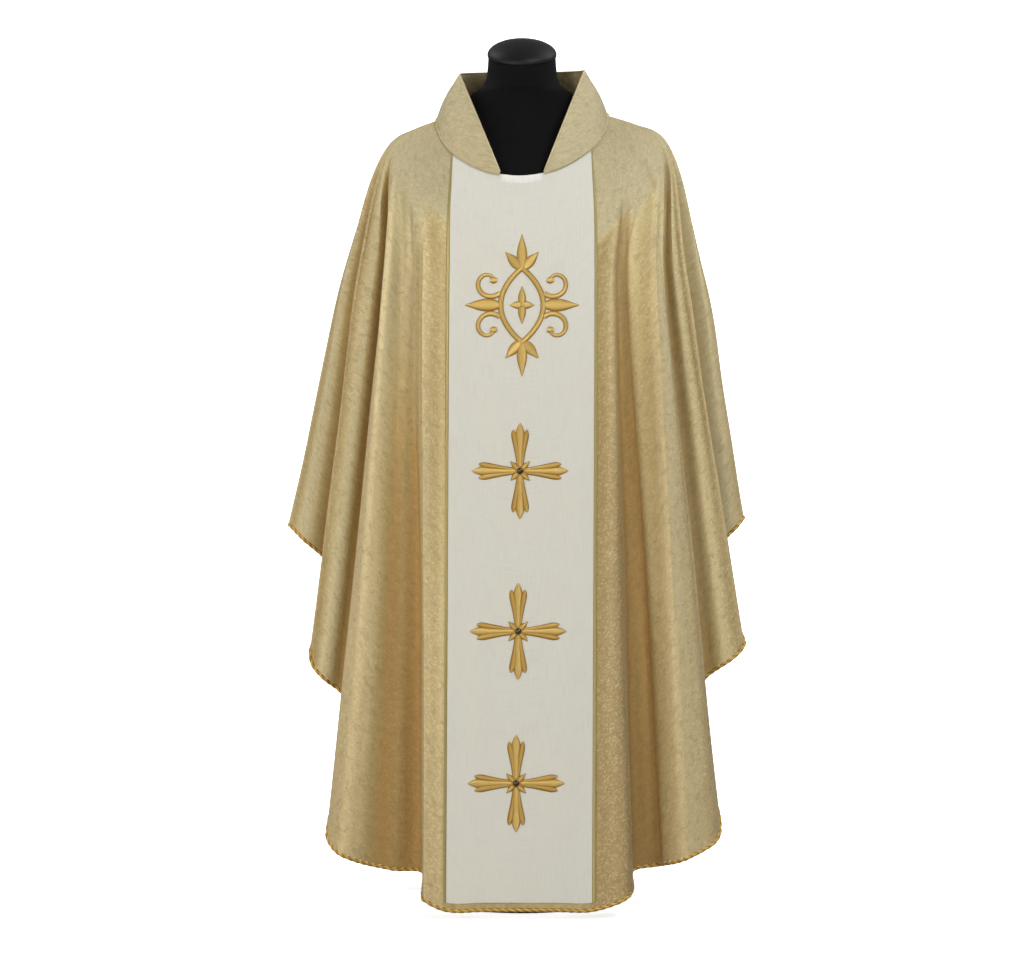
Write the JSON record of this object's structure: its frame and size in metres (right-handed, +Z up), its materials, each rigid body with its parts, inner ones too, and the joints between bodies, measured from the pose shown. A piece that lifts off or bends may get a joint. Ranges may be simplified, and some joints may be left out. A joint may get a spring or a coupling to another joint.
{
  "type": "chasuble on a limbless dress form",
  "caption": "Chasuble of gold brocade hung in deep folds on a black limbless dress form, with an ivory orphrey, crosses, an ornament, a turned-out collar and a hem cord.",
  "frame": {"origin": "middle of the underside of the stand's foot, on the floor", "axes": "+Z up, the garment's front faces -Y, +X is to the right as seen from the front"},
  "size_m": [0.7352, 0.4017, 1.3823],
  "materials": {
    "brocade": "gold brocade with a metallic sheen",
    "ivory": "ivory ribbed silk",
    "gold": "gold thread",
    "stone": "polished dark brown",
    "jersey": "matt black jersey",
    "cap": "satin black",
    "metal": "dark grey"
  },
  "bodies": {
    "root": {"front_panel": "brocade", "back_panel": "brocade", "collar": "brocade", "orphrey": "ivory", "braid_left": "gold", "braid_right": "gold", "hem_cord_front": "gold", "hem_cord_back": "gold", "ornament": "gold", "ornament_flower": "gold", "cross_upper": "gold", "cross_middle": "gold", "cross_lower": "gold", "cross_stone_upper": "stone", "cross_stone_middle": "stone", "cross_stone_lower": "stone", "form_body": "jersey", "neck_cap": "cap", "stand_pole": "metal", "stand_foot": "metal"}
  },
  "joints": []
}
